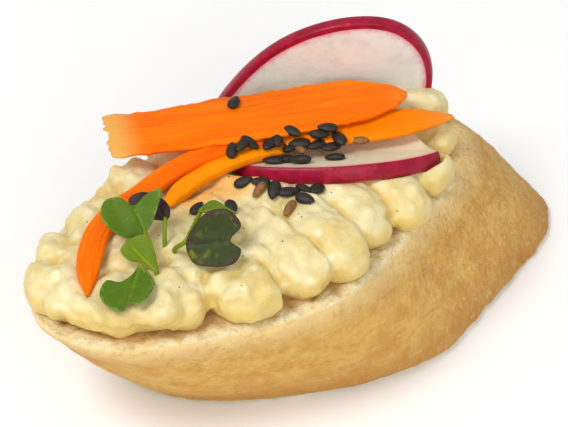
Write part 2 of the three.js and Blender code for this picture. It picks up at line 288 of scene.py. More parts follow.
class Paint:
    """A material whose node graph is written a line at a time.

    glow is the weight, scale and radius of the light that goes under the surface.
    """

    def __init__(self, name, roughness, shine=0.5, glow=(0, 0, (1, 1, 1))):
        self.material = bpy.data.materials.new(name)
        self.material.use_nodes = True
        self.tree = self.material.node_tree
        self.shader = self.tree.nodes["Principled BSDF"]
        names = ("Roughness", "Specular IOR Level", "Subsurface Weight", "Subsurface Scale",
                 "Subsurface Radius")
        for key, value in zip(names, (roughness, shine, *glow)):
            self.shader.inputs[key].default_value = value
        self.place = self.node("TexCoord").outputs["Object"]

    def put(self, socket, value):
        """Links or sets a socket: a colour is given as a display colour."""
        if isinstance(value, bpy.types.NodeSocket):
            self.tree.links.new(value, socket)
        else:
            socket.default_value = colour(*value) if socket.type == "RGBA" else value

    def node(self, kind, **inputs):
        node = self.tree.nodes.new("ShaderNode" + kind)
        for key, value in inputs.items():
            self.put(node.inputs[key.replace("_", " ")], value)
        return node

    def mark(self, name, vector=False):
        """What make_piece wrote on the points under this name."""
        node = self.node("Attribute")
        node.attribute_name = name
        return node.outputs["Vector" if vector else "Fac"]

    def stretch(self, vector, scale, turn=(0, 0, 0)):
        turn = [math.radians(a) for a in turn]
        return self.node("Mapping", Vector=vector, Scale=scale, Rotation=turn).outputs["Vector"]

    def noise(self, size, detail=3, rough=0.5, vector=None, distort=0.0):
        """Cloudy noise whose features are about size across, in the vector's own unit."""
        vector = self.place if vector is None else vector
        return self.node("TexNoise", Vector=vector, Scale=1 / size, Detail=detail, Roughness=rough,
                         Distortion=distort).outputs["Fac"]

    def cells(self, size):
        """Distance from the nearest of scattered centres about size apart."""
        return self.node("TexVoronoi", Vector=self.place, Scale=1 / size).outputs["Distance"]

    def ramp(self, factor, low, high, start=0.0, end=1.0):
        """Goes smoothly from start to end while the factor goes from low to high."""
        node = self.node("MapRange")
        node.interpolation_type = "SMOOTHSTEP"
        for socket, value in zip(node.inputs, (factor, low, high, start, end)):
            self.put(socket, value)
        return node.outputs["Result"]

    def maths(self, operation, a, b):
        node = self.node("Math")
        node.operation = operation
        self.put(node.inputs[0], a)
        self.put(node.inputs[1], b)
        return node.outputs[0]

    def plus(self, a, b):
        return self.maths("ADD", a, b)

    def minus(self, a, b):
        return self.maths("SUBTRACT", a, b)

    def times(self, a, b):
        return self.maths("MULTIPLY", a, b)

    def mix(self, factor, a, b):
        node = self.node("Mix", Factor=factor)
        node.data_type = "RGBA"
        self.put(node.inputs[6], a)
        self.put(node.inputs[7], b)
        return node.outputs[2]

    def over(self, base, factor, low, high, share, rgb):
        """The base with a display colour laid over it, up to a share, as the factor reaches high."""
        return self.mix(self.ramp(factor, low, high, 0, share), base, rgb)

    def finish(self, base, height=None, depth=0.1, rough=None):
        """The finished material: depth is the height of its bumps in millimetres."""
        self.put(self.shader.inputs["Base Color"], base)
        if rough is not None:
            self.put(self.shader.inputs["Roughness"], rough)
        if height is not None:
            bump = self.node("Bump", Strength=1, Distance=depth * MM, Height=height)
            self.put(self.shader.inputs["Normal"], bump.outputs["Normal"])
        return self.material


def bread_paint():
    p = Paint("bread_paint", 0.72, 0.5, (0.12, 0.002, (1, 0.6, 0.3)))
    crumb = p.mark("crumb")
    low = p.mark("low")
    patches = p.noise(4 * MM, 5, 0.7)
    along = p.stretch(p.place, (0.35, 1, 1), (0, 40, 15))
    streaks = p.noise(2.2 * MM, 5, 0.65, along, 0.6)
    specks = p.noise(0.6 * MM, 4, 0.75)
    crust = p.mix(p.ramp(patches, 0.36, 0.66), (214, 171, 86), (202, 149, 60))
    crust = p.over(crust, streaks, 0.5, 0.75, 0.6, (186, 122, 52))
    crust = p.over(crust, streaks, 0.42, 0.25, 0.55, (236, 206, 146))
    # Painted shade: the crust darkens towards the floor, and painted light: it pales towards the cut face
    # at the top.
    crust = p.over(crust, low, 0.55, 1, 0.7, (178, 120, 44))
    crust = p.over(crust, low, 0.26, 0.0, 0.85, (232, 203, 140))
    crust = p.over(crust, specks, 0.42, 0.3, 0.4, (230, 196, 124))
    crust = p.over(crust, specks, 0.6, 0.78, 0.7, (160, 104, 44))
    upright = p.stretch(p.place, (1, 1, 0.07), (0, -40, 0))
    scratches = p.noise(0.42 * MM, 4, 0.7, upright, 0.4)
    worn = p.mark("worn")
    scuffed = p.times(p.ramp(scratches, 0.54, 0.7, 0, 0.6), worn)
    crust = p.mix(scuffed, crust, (234, 206, 146))
    scored = p.times(p.ramp(scratches, 0.46, 0.32, 0, 0.75), worn)
    crust = p.mix(scored, crust, (186, 122, 54))
    crust = p.over(crust, p.mark("crack"), 0.1, 0.8, 0.5, (192, 126, 52))
    pores = p.noise(0.9 * MM, 4, 0.7)
    fine = p.noise(1.5 * MM, 4, 0.7)
    crust = p.over(crust, fine, 0.5, 0.7, 0.45, (190, 132, 56))
    crust = p.over(crust, fine, 0.45, 0.3, 0.4, (228, 189, 106))
    inside = p.mix(p.ramp(fine, 0.35, 0.65), (240, 226, 186), (226, 202, 146))
    inside = p.over(inside, pores, 0.56, 0.72, 0.35, (206, 160, 92))
    # The crumb browns towards the spread: partly toasting, partly painted shade under the spread's
    # overhang.
    inside = p.over(inside, p.mark("toast"), 0, 1, 0.75, (194, 142, 68))
    edge = p.plus(crumb, p.ramp(fine, 0.3, 0.7, -0.2, 0.2))
    base = p.mix(p.ramp(edge, 0.2, 0.8), crust, inside)
    grain = p.plus(p.times(streaks, 0.6), p.times(specks, 0.4))
    grain = p.minus(grain, p.times(p.ramp(pores, 0.5, 0.7, 0, 0.25), crumb))
    return p.finish(base, grain, 0.5)


def spread_paint():
    p = Paint("spread_paint", 0.42, 0.35, (0.2, 0.001, (1, 0.75, 0.35)))
    patches = p.noise(6 * MM, 3, 0.5)
    fine = p.noise(0.7 * MM, 3, 0.6)
    base = p.mix(p.ramp(patches, 0.35, 0.7), (230, 217, 168), (219, 196, 126))
    base = p.over(base, p.noise(2.2 * MM, 3, 0.6), 0.56, 0.74, 0.5, (224, 194, 100))
    base = p.over(base, p.cells(2.4 * MM), 0.4, 0.1, 0.6, (240, 232, 196))
    # Painted shade: a darker yellow in the dips, on the low and steep parts and towards the left.
    base = p.over(base, p.mark("hollow"), 0.05, 0.9, 0.75, (216, 184, 94))
    base = p.over(base, fine, 0.74, 0.8, 0.5, (205, 170, 90))
    base = p.over(base, p.mark("juice"), 0, 1, 0.75, (245, 178, 84))
    base = p.over(base, p.mark("blush"), 0, 1, 0.5, (224, 128, 116))
    wet = p.ramp(p.noise(1.6 * MM, 3, 0.6), 0.3, 0.7, 0.32, 0.55)
    grain = p.plus(p.times(fine, 0.3), p.times(p.noise(2 * MM, 4, 0.6), 0.7))
    return p.finish(base, grain, 0.35, wet)


def radish_paint(name, pale, dull):
    p = Paint(name, 0.34, 0.25, (0.1, 0.0006, (1, 0.8, 0.7)))
    flesh = p.mix(p.ramp(p.noise(3.5 * MM, 4, 0.6), 0.45, 0.8), pale, dull)
    uneven = p.plus(p.mark("bleed"), p.ramp(p.noise(0.9 * MM, 3, 0.6), 0.3, 0.7, -0.14, 0.14))
    flesh = p.over(flesh, uneven, 0.15, 1, 0.75, (220, 110, 142))
    peel = p.mix(p.ramp(p.noise(2 * MM, 4, 0.7), 0.35, 0.7), (166, 15, 51), (132, 7, 37))
    peel = p.over(peel, p.noise(0.4 * MM, 2, 0.6), 0.7, 0.82, 0.6, (222, 120, 142))
    base = p.mix(p.ramp(p.mark("skin"), 0.35, 0.65), flesh, peel)
    return p.finish(base, p.noise(0.7 * MM, 3, 0.6), 0.08)


def carrot_paint():
    p = Paint("carrot_paint", 0.4, 0.08, (0.08, 0.001, (1, 0.45, 0.1)))
    grain = p.mark("grain", vector=True)
    lines = p.noise(0.55, 4, 0.6, p.stretch(grain, (0.07, 1, 1)), 0.2)
    wide = p.noise(2.2, 3, 0.5, p.stretch(grain, (0.15, 1, 1)))
    sparkle = p.noise(0.28 * MM, 2, 0.6)
    base = p.mix(p.ramp(wide, 0.35, 0.7), (244, 104, 0), (246, 122, 0))
    base = p.over(base, lines, 0.52, 0.72, 0.6, (228, 78, 0))
    base = p.over(base, lines, 0.44, 0.3, 0.4, (250, 146, 10))
    base = p.mix(p.times(p.mark("gold"), 0.75), base, (248, 150, 2))
    base = p.mix(p.mark("pale"), base, (230, 170, 84))
    base = p.over(base, sparkle, 0.66, 0.76, 0.5, (255, 190, 92))
    return p.finish(base, p.plus(p.times(lines, 0.7), p.times(sparkle, 0.3)), 0.14)


def leaf_paint(name, upper, deep, light, rim, veins, rim_reach, patchy=0.4):
    """Light along the veins and in patches, and another colour towards the rim."""
    p = Paint(name, 0.45, 0.2, (0.1, 0.0008, (0.6, 1, 0.2)))
    patches = p.noise(2.4 * MM, 3, 0.6)
    fine = p.noise(0.35 * MM, 3, 0.6)
    base = p.mix(p.ramp(patches, 0.35, 0.68, 0, 0.8), upper, deep)
    base = p.mix(p.ramp(patches, 0.5, 0.76, 0, patchy), base, light)
    base = p.mix(p.ramp(p.mark("vein"), 0.2, 1, 0, 0.6), base, veins)
    edge = p.plus(p.mark("rim"), p.ramp(p.noise(1.4 * MM, 3, 0.6), 0.3, 0.7, -0.12, 0.12))
    base = p.mix(p.ramp(edge, rim_reach, 1.0), base, rim)
    base = p.mix(p.mark("stalk"), base, light)
    height = p.minus(p.times(fine, 0.35), p.times(p.mark("vein"), 0.65))
    return p.finish(base, height, 0.1)


def seed_paint(name, dark, light):
    p = Paint(name, 0.38, 0.4)
    base = p.mix(p.ramp(p.noise(0.6 * MM, 3, 0.6), 0.4, 0.75), dark, light)
    return p.finish(base, p.noise(0.25 * MM, 3, 0.6), 0.12)


def floor_paint():
    p = Paint("floor_paint", 0.85)
    return p.finish(p.mix(p.noise(60 * MM, 2), (252, 252, 251), (250, 250, 249)))


# ---- Bread ----
def make_bread():
    """The crust swells and wrinkles, and the crumb at both cut faces is pitted."""
    cad, cad_faces = mesh_arrays(frame["nodes"]["bread"].data)
    cad = cad / MM
    points, faces = voxel_skin(cad, cad_faces, 0.55)
    edges = edges_of(faces)
    points = relax(points, edges, 3)
    normals = vertex_normals(points, faces)
    x, _, z = points.T
    upper = smoothstep(0.5, 0.8, normals[:, 2]) * smoothstep(TOP - 2.2, TOP - 1, z)
    lower = smoothstep(-0.5, -0.8, normals[:, 2]) * smoothstep(2.2, 1, z)
    upper *= 1 - 0.9 * smoothstep(8, 14, x)  # the crust folds over the edge at the right
    crumb = relax(np.maximum(upper, lower), edges, 3)
    crust = 1 - crumb
    rim = cad[cad[:, 2] > TOP - EDGE_DEPTH]
    rim_gap = np.array([np.min(np.hypot(*(rim[:, :2] - p[:2]).T)) for p in points])
    lean = points + np.outer(z, (0.85, 0, 0))  # straightens the slant of the loaf
    streaks = soft_noise(lean * (1, 1, 0.22), 2.4, 11) + 0.5 * soft_noise(lean * (1, 1, 0.3), 1.1, 12)
    swell = soft_noise(points, 14, 13) * 0.45 + soft_noise(points, 5, 14) * 0.22
    right = smoothstep(-4, 18, x)
    push = crust * (swell + streaks * (0.08 + 0.16 * right) + 0.09 * soft_noise(points, 1, 15))
    cracks = smoothstep(0.62, 0.9, soft_noise(lean * (1, 1, 0.16), 4.2, 16)) * right * crust
    push -= 0.55 * cracks
    open_crumb = crumb * upper
    pits = cell_bumps(points, 2.1, 17) * smoothstep(0, 0.4, soft_noise(points, 3.5, 18))
    push -= open_crumb * (0.5 * pits + 0.3 * np.abs(soft_noise(points, 1.2, 19)))
    push += open_crumb * 0.25 * soft_noise(points, 4, 20)
    push -= crumb * lower * 0.25 * cell_bumps(points, 1.7, 21)
    points = points + normals * push[:, None]
    points[:, 2] = np.maximum(points[:, 2], 0)
    # Browner crumb away from the crust's edge, under the spread: partly toasting, partly painted shade.
    toast = open_crumb * smoothstep(1.2, 3.2, rim_gap + 1.1 * soft_noise(points, 3, 22))
    # low, how near the floor each point is, carries the crust's painted shade at the bottom and painted
    # light at the top.
    marks = {"crumb": crumb, "low": 1 - points[:, 2] / TOP, "toast": toast,
             "worn": crust * smoothstep(-22, 10, points[:, 0]), "crack": cracks}
    make_piece("bread_slice", points, faces, bread_paint(), ["bread"], marks)


# ---- Egg spread ----
# Fingers of spread, and mounds behind them: x, y at both ends, half width, and height above the bread.
FINGERS = [
    (-34, 0, -30.8, -13.2, 5.8, 6.1),
    (-24.5, 1, -22.2, -15.4, 4.2, 6.5),
    (-17, 1, -16.2, -16, 4.8, 6.7),
    (-9.5, 1, -8.8, -13, 4.4, 6.4),
    (-2.5, 0, -1.6, -13.6, 4.5, 6.2),
    (5, -1, 6, -10.4, 4, 5.7),
    (11.5, 1, 13, -5.2, 3.2, 5.1),
    (12, 5, 17.6, 1.4, 3.2, 5),
    (-46, 4, -50.2, 3.8, 4.8, 5.4),
    (-50, 2, -47.2, -2.8, 4.3, 6),
    (-46.5, -4, -39.8, -8.8, 4.7, 6.2),
    (-43, 5, -45.4, 8.8, 4.2, 4.8),
    (-36.5, 6, -38, 11.8, 3.8, 5),
    (-29, 6, -29.6, 14.2, 4.8, 5.8),
    (-19.5, 4, -20, 14.6, 5.4, 6.2),
    (-9, 4, -9.2, 14.4, 5.4, 6.2),
    (2, 4, 2.2, 12, 5.2, 6),
]
MOUNDS = [(-40, 2.5, -4, 3.5, 9, 5.9), (-30, 2, 7, 3, 7.5, 6)]
# Lips that lie on the fingers: x, y, z above the bread along each, with half widths.
LIPS = [
    [(-51, 4, 3.4, 2.2), (-52, 0, 3.6, 2.4), (-50, -4.6, 3.8, 2.4), (-44.5, -9, 3.8, 2.6),
     (-41, -11.4, 3.8, 2.6)],
    [(-35.6, -13.4, 4.2, 2.8), (-32, -14.4, 4, 2.8), (-28.5, -14.8, 3.4, 2.2)],
    [(-29, -7, 4.6, 2), (-27.2, -11, 4.6, 2.4), (-26.4, -14.6, 3.6, 2)],
    [(-22.5, -4, 5.2, 1.8), (-20.6, -9.5, 5, 2.4), (-19.6, -15.4, 4, 2.4)],
    [(-13.5, -4.5, 5.2, 1.8), (-12.4, -9, 4.8, 2.2), (-12.6, -13.6, 3.6, 2.2)],
    [(-6, -5, 4.8, 1.8), (-4.6, -9, 4.6, 2.2), (-4, -13, 3.4, 2.2)],
    [(1, -4.5, 4.4, 1.8), (2.6, -8, 4.2, 2.1), (3.6, -10.4, 3.2, 2)],
    [(11, 3, 4.6, 1.6), (14.4, 1, 4.8, 1.7), (17.4, -1.4, 4, 1.7)],
]


def finger(x0, y0, x1, y1, half, height, waist=0.4, steps=9, sides=28):
    """A rounded finger, widest above the bread so that its sides tuck under."""
    start = np.array((x0, y0, 0.0))
    end = np.array((x1, y1, 0.0))
    along = unit(end - start)
    side = np.array((-along[1], along[0], 0.0))
    up = np.array((0, 0, 1.0))
    middle = TOP + waist * height
    rise = (1 - waist) * height
    rings = []
    quarter = np.linspace(0, math.pi / 2, steps + 1)[1:]
    for sign, base, bends in ((-1, start, quarter), (1, end, quarter[::-1])):
        for b in bends:
            centre = base + sign * along * half * math.cos(b) + up * middle
            shrink = math.sin(b)
            rings.append(hoop(centre, side, up, half * shrink, rise * shrink, sides))
    return loft(rings)


def lip(corners, sides=18):
    """A soft rounded fold laid along a bent line."""
    line = spline(corners, 26)
    rings = []
    for i, along in enumerate(ways_along(line[:, :3])):
        x, y, z, half = line[i]
        side = unit(np.array((-along[1], along[0], 0.0)))
        up = np.cross(along, side)
        fade = math.sqrt(max(1 - (2 * i / (len(line) - 1) - 1) ** 6, 0.01))
        centre = np.array((x, y, TOP + z))
        rings.append(hoop(centre, side, up, half * fade, 0.8 * half * fade, sides))
    return loft(rings)


def near_line(points, start, end):
    """Distance in plan from a straight line between two places."""
    a, b = np.array(start, float), np.array(end, float)
    t = np.clip(((points[:, :2] - a) @ (b - a)) / ((b - a) @ (b - a)), 0, 1)
    return np.linalg.norm(points[:, :2] - (a + t[:, None] * (b - a)), axis=1)


# Creases between fingers, each from the edge inwards: x, y at both ends.
CREASES = [
    (-39.5, -16.4, -33, -6.8),
    (-27.4, -19, -29, -2), (-19.6, -20, -20.8, 0), (-12.6, -20, -13.4, 0), (-5.4, -18, -6, -1),
    (2.4, -15, 1.4, -3), (9.4, -11, 8, -1), (15, -5, 12, 2), (-33.4, 18, -32.4, 7), (-24.4, 19, -24.6, 8),
    (-14.6, 20, -14.4, 8), (-3.4, 19, -3.4, 8),
]


def shingle(points):
    """Rise and fall across the creases: a raised lip on one side, and a drop on the other."""
    x, y, _ = points.T
    change = np.zeros(len(points))
    weave = 0.7 * soft_noise(points * (1, 1, 0), 4, 41) + 0.35 * soft_noise(points * (1, 1, 0), 1.6, 42)
    for x0, y0, x1, y1 in CREASES:
        t = (y - y0) / (y1 - y0)
        across = x - (x0 + (x1 - x0) * t) + weave
        fade = smoothstep(1, 0.6, t) * smoothstep(-0.4, 0, t)
        raised = 0.35 * np.exp(-np.abs(across + 1.2) ** 2 / 1.6)
        sunk = 1.25 * smoothstep(-0.35, 0.35, across) * np.exp(-np.maximum(across, 0) / 1.3)
        change += fade * (raised - sunk)
    return change


def press_slice(points):
    """Lowers the spread to the underside of the lying slice and in front of its rim."""
    turn = slice_turn(LYING_PITCH, LYING_AZIMUTH)
    local = (points - LYING_MIDDLE) @ turn
    x, y, z = local.T
    swept = y + lying_sweep(x)
    beyond = np.hypot(x, swept - LYING_CENTRE) - LYING_RADIUS
    past_end = np.maximum(x - lying_right(swept), 0)
    near = (beyond < 2.5) & (swept < LYING_BACK) & (x > -LYING_RADIUS) & (past_end < 4)
    gap, slope = 0.15, 1.1
    allowed = -gap + slope * np.maximum(beyond, 0) + slope * past_end
    local[:, 2] = np.where(near, np.minimum(z, allowed), z)
    return local @ turn.T + LYING_MIDDLE


def press_ribbon(points, rows, thick):
    """Lowers the spread under a ribbon that lies on it, sloping up again beyond its edges."""
    reach, slope = 1.5, 1.2
    for x, y, z, half in spline(rows, 60):
        beyond = np.hypot(points[:, 0] - x, points[:, 1] - y) - half
        near = beyond < reach
        allowed = z - 0.5 * thick + slope * np.maximum(beyond, 0)
        points[near, 2] = np.minimum(points[near, 2], allowed[near])
    return points


def spread_shape():
    """The fingers, mounds and lips as one skin: lumpy, and pressed down under the toppings."""
    shells = [finger(*f) for f in FINGERS + MOUNDS] + [lip(l) for l in LIPS]
    points, faces = voxel_skin(*join_arrays(shells), 0.45)
    edges = edges_of(faces)
    points = relax(points, edges, 4)
    normals = vertex_normals(points, faces)
    broad = soft_noise(points, 5.5, 31) * 0.5 + soft_noise(points, 2.6, 32) * 0.36
    eggs = cell_bumps(points, 2.7, 33) * smoothstep(-0.3, 0.4, soft_noise(points, 6, 34))
    crumbs = cell_bumps(points, 1.5, 35) * smoothstep(-0.1, 0.4, soft_noise(points, 4, 36))
    pillows = np.abs(soft_noise(points, 3, 38)) + 0.5 * np.abs(soft_noise(points, 1.5, 39)) - 0.4
    lumpy = 0.55 + 0.6 * smoothstep(-14, -30, points[:, 0])
    push = broad + lumpy * (0.8 * eggs + 0.5 * crumbs + 1.1 * pillows) + 0.15 * soft_noise(points, 0.9, 37)
    edge = smoothstep(TOP + 4.5, TOP + 1.5, points[:, 2])
    points = points + normals * (push * (1 - 0.4 * edge) + shingle(points))[:, None]
    points = relax(points, edges, 1)
    points = press_slice(points)
    for name in ("carrot_ribbon_right", "carrot_strip_curved", "carrot_strip_short"):
        points = press_ribbon(points, RIBBONS[name]["rows"], RIBBONS[name]["thick"])
    points = relax(points, edges, 1)
    points[:, 2] = np.clip(points[:, 2], TOP - 0.3, None)
    return points, faces, edges


def make_spread(points, faces, edges):
    """The marks are painted shade in the dips, on the low and steep parts and towards the left, the juice
    by the carrot and the blush by the radish.
    """
    x, _, z = points.T
    lifted = relax(z, edges, 25)
    # Painted shade for the spread paint: dips, low lobes, steep sides and the left side.
    hollow = smoothstep(0.0, 0.5, lifted - z) * smoothstep(TOP, TOP + 1, z)
    low = smoothstep(TOP + 6, TOP + 0.5, z)
    left = smoothstep(-18, -30, x)
    juice = 0.9 * smoothstep(4.2, 1.2, near_line(points, (-22, 2.6), (-15.5, 1.2)))
    juice = np.maximum(juice, smoothstep(2.6, 0.6, near_line(points, (-27, 3.4), (-22, 2.6))))
    blush = smoothstep(1.6, 0.2, near_line(points, (-8, -8.6), (3, -9.6)))
    steep = smoothstep(0.75, 0.1, vertex_normals(points, faces)[:, 2])
    hollow = np.clip(hollow + 0.6 * low + 0.4 * steep + 0.12 * left, 0, 1)
    marks = {"hollow": hollow, "juice": juice, "blush": blush}
    make_piece("egg_spread", points, faces, spread_paint(), ["spread"], marks)


# ---- Radish ----
SLICE_SHARES = np.concatenate([np.linspace(0.04, 0.9, 26), np.linspace(0.92, 1, 8)])
UPRIGHT_MIDDLE = (5, 11, 25)
UPRIGHT_PITCH = 94
UPRIGHT_AZIMUTH = -40
UPRIGHT_HALVES = (23.3, 15.2)  # of the long and the short way across the oval
UPRIGHT_TILT = 56.5  # degrees that the oval is turned in its own plane
UPRIGHT_CENTRE = (-1.6, -5.2)
UPRIGHT_FOOT = -1.2
LYING_MIDDLE = (-3.95, -4.63, 26)
LYING_PITCH = -25.8
LYING_AZIMUTH = -34
LYING_RADIUS = 18
LYING_CENTRE = 12  # the centre of the rim is this far behind the middle
LYING_BACK = 7  # the slice ends here, under the ribbons
LYING_END = -40  # degrees round the rim, where the right end is cut


def slice_turn(pitch, azimuth):
    turn = Matrix.Rotation(math.radians(azimuth), 3, "Z") @ Matrix.Rotation(math.radians(pitch), 3, "X")
    return np.array(turn)


def lying_right(y):
    """Where the cut at the right end of the lying slice runs."""
    end = math.radians(LYING_END)
    start = LYING_CENTRE + LYING_RADIUS * math.sin(end)
    return LYING_RADIUS * math.cos(end) - 0.5 * np.maximum(y - start, 0)


def lying_sweep(x):
    """How far the left end of the lying slice comes forward."""
    return 0.036 * np.maximum(-6 - x, 0) ** 2


def placed(local, middle, pitch, azimuth):
    """Slice points turned to stand or lie at their place."""
    return local @ slice_turn(pitch, azimuth).T + np.array(middle)


def slice_shape(rim, cut, thickness, bend, front, peel):
    """A flat slice, rounded at its edge: skin along the rim, and flesh where it is cut."""
    outline = np.concatenate([rim, cut])
    is_skin = np.arange(len(outline)) < len(rim)
    middle = outline.mean(0)
    round_steps = np.linspace(0, math.pi, 7)[1:-1]
    roundness = 0.28
    reach = np.linalg.norm(outline - middle, axis=1, keepdims=True)
    rings, skins = [], []

    def ring(share, inset, z, on_edge):
        flat = middle + (outline - middle) * (share - inset / reach)
        rings.append(np.column_stack([flat, np.full(len(flat), z)]))
        skins.append(is_skin * on_edge)

    for share in SLICE_SHARES:
        ring(share, roundness * share, front, 0)
    for t in round_steps:
        ring(1, roundness * (1 - math.sin(t)), front - thickness * (1 - math.cos(t)) / 2, 1)
    for share in SLICE_SHARES[::-1]:
        ring(share, roundness * share, front - thickness, 0)
    points, faces = loft(rings)
    gap = np.min(np.linalg.norm(points[:, None, :2] - rim[None], axis=2), axis=1)
    skin = np.maximum(np.concatenate([*skins, [0, 0]]), smoothstep(peel + 0.15, peel - 0.1, gap))
    bleed = np.exp(-np.maximum(gap - peel, 0) / 0.8)
    points[:, 2] += bend(points[:, 0], points[:, 1])
    return points, faces, {"skin": skin, "bleed": bleed}


def upright_slice():
    """About half of an oval slice, cut straight along its foot and bending away at the right."""
    t = round_turns(720)
    turn = math.radians(UPRIGHT_TILT)
    x = UPRIGHT_HALVES[0] * np.cos(t)
    y = UPRIGHT_HALVES[1] * np.sin(t)
    wobble = 1 + 0.006 * np.sin(3 * t + 1) + 0.005 * np.sin(7 * t)
    oval = np.column_stack([x * math.cos(turn) - y * math.sin(turn) + UPRIGHT_CENTRE[0],
                            x * math.sin(turn) + y * math.cos(turn) + UPRIGHT_CENTRE[1]])
    oval *= wobble[:, None]
    kept = oval[oval[:, 1] > UPRIGHT_FOOT]
    start = np.argmax(np.linalg.norm(np.roll(kept, -1, 0) - kept, axis=1)) + 1
    kept = np.roll(kept, -start, 0)[::3]
    straight = np.linspace(kept[-1], kept[0], 34)[1:-1]

    def bend(x, y):
        return -0.012 * np.maximum(x - 4, 0) ** 2 + 0.18 * np.sin(x / 6) - 0.1 * np.sin(y / 5)

    points, faces, marks = slice_shape(kept, straight, thickness=2, bend=bend, front=0, peel=1.05)
    return placed(points, UPRIGHT_MIDDLE, UPRIGHT_PITCH, UPRIGHT_AZIMUTH), faces, marks


def lying_slice():
    """Part of a slice pressed into the spread, its skin to the front, cut square at the right."""
    radius, centre, back = LYING_RADIUS, LYING_CENTRE, LYING_BACK
    end = math.radians(LYING_END)
    start = -math.pi - math.asin((back - centre) / radius)
    arc = np.linspace(start, end, 170)
    rim = np.column_stack([radius * np.cos(arc), centre + radius * np.sin(arc)])
    corner = np.array((lying_right(back), back))
    right = np.linspace(rim[-1], corner, 8)[1:]
    rear = np.linspace(corner, rim[0], 40)[1:-1]
    cut = np.concatenate([right, rear])

    def bend(x, y):
        return 0.1 * np.sin(x / 4 + 1) + 0.08 * np.maximum(y - 1, 0) ** 2

    points, faces, marks = slice_shape(rim, cut, thickness=2.4, bend=bend, front=2.4, peel=0.3)
    points[:, 1] -= lying_sweep(points[:, 0])
    return placed(points, LYING_MIDDLE, LYING_PITCH, LYING_AZIMUTH), faces, marks


def make_radishes():
    clean = radish_paint("radish_clean", (227, 224, 216), (212, 208, 202))
    smeared = radish_paint("radish_smeared", (236, 222, 188), (228, 212, 172))
    slices = (("upright", clean, upright_slice()), ("lying", smeared, lying_slice()))
    for name, paint, (points, faces, marks) in slices:
        make_piece(f"radish_{name}", points, faces, paint, [f"radish_slice_{name}"], marks)


# ---- Carrot ----
# Rows hold x, y, z and half width. At the two ends, torn is how deep the fray is and pale how bleached.
RIBBONS = {
    "carrot_ribbon_wide": dict(
        rows=[(-29.7, 19.6, 31.2, 4.9), (-23.6, 16.3, 31, 4.9), (-16.9, 13.2, 30.9, 5.1),
              (-10.1, 10, 30.9, 5.4), (-3.6, 6.6, 31, 5.4), (2, 4.1, 31, 5), (5.8, 2.1, 31, 4.2),
              (9, 0.4, 31, 2.6), (11, -0.8, 31, 0.7)],
        torn=(0.45, 0.2), pale=(1, 0.15), gold=0.1, thick=0.8, wave=0.22, fringe=0.2,
    ),
    "carrot_ribbon_right": dict(
        rows=[(-8.2, 5.7, 29.6, 4.1), (-5, 4.1, 29.8, 4.2), (0.2, 0.7, 29.7, 3.9),
              (5.2, -2.6, 29.6, 3.4), (9.8, -4.9, 29.4, 2.2), (14.6, -7.2, 28.9, 0.5)],
        torn=(0.4, 0.3), pale=(0.3, 0.3), gold=0.6, thick=0.85, wave=0.2, fringe=0.15,
    ),
    "carrot_strip_curved": dict(
        rows=[(-8.2, 5.6, 29.1, 2), (-12.6, 6.8, 29.6, 1.9), (-16.9, 7.7, 29.8, 1.7),
              (-21.5, 8.6, 29.8, 1.6), (-26.6, 8.8, 29.6, 1.6), (-32, 7.9, 29.4, 1.7),
              (-37.4, 7.1, 29.2, 1.8), (-41.8, 5.2, 29.1, 1.8), (-45.4, 2.3, 28.9, 1.8),
              (-48.1, -0.7, 28.6, 1.4), (-50.2, -3.5, 28, 0.2)],
        torn=(0.2, 0), pale=(0, 0), gold=0, thick=1.3, wave=0.12, fringe=0.04,
    ),
    "carrot_strip_short": dict(
        rows=[(-9.6, 3.5, 28.8, 1.3), (-13.8, 4.7, 29.3, 1.4), (-17, 5.2, 29.5, 1.4),
              (-20.1, 5.6, 29.4, 1.4), (-23.4, 5.7, 29.2, 1.4), (-27, 5.2, 29, 1.4),
              (-30.8, 4, 28.8, 0.8)],
        torn=(0.2, 0.3), pale=(0.1, 0), gold=1, thick=1.2, wave=0.12, fringe=0.06,
    ),
}
RIBBON_ROWS = 110
RIBBON_SPLITS = 26


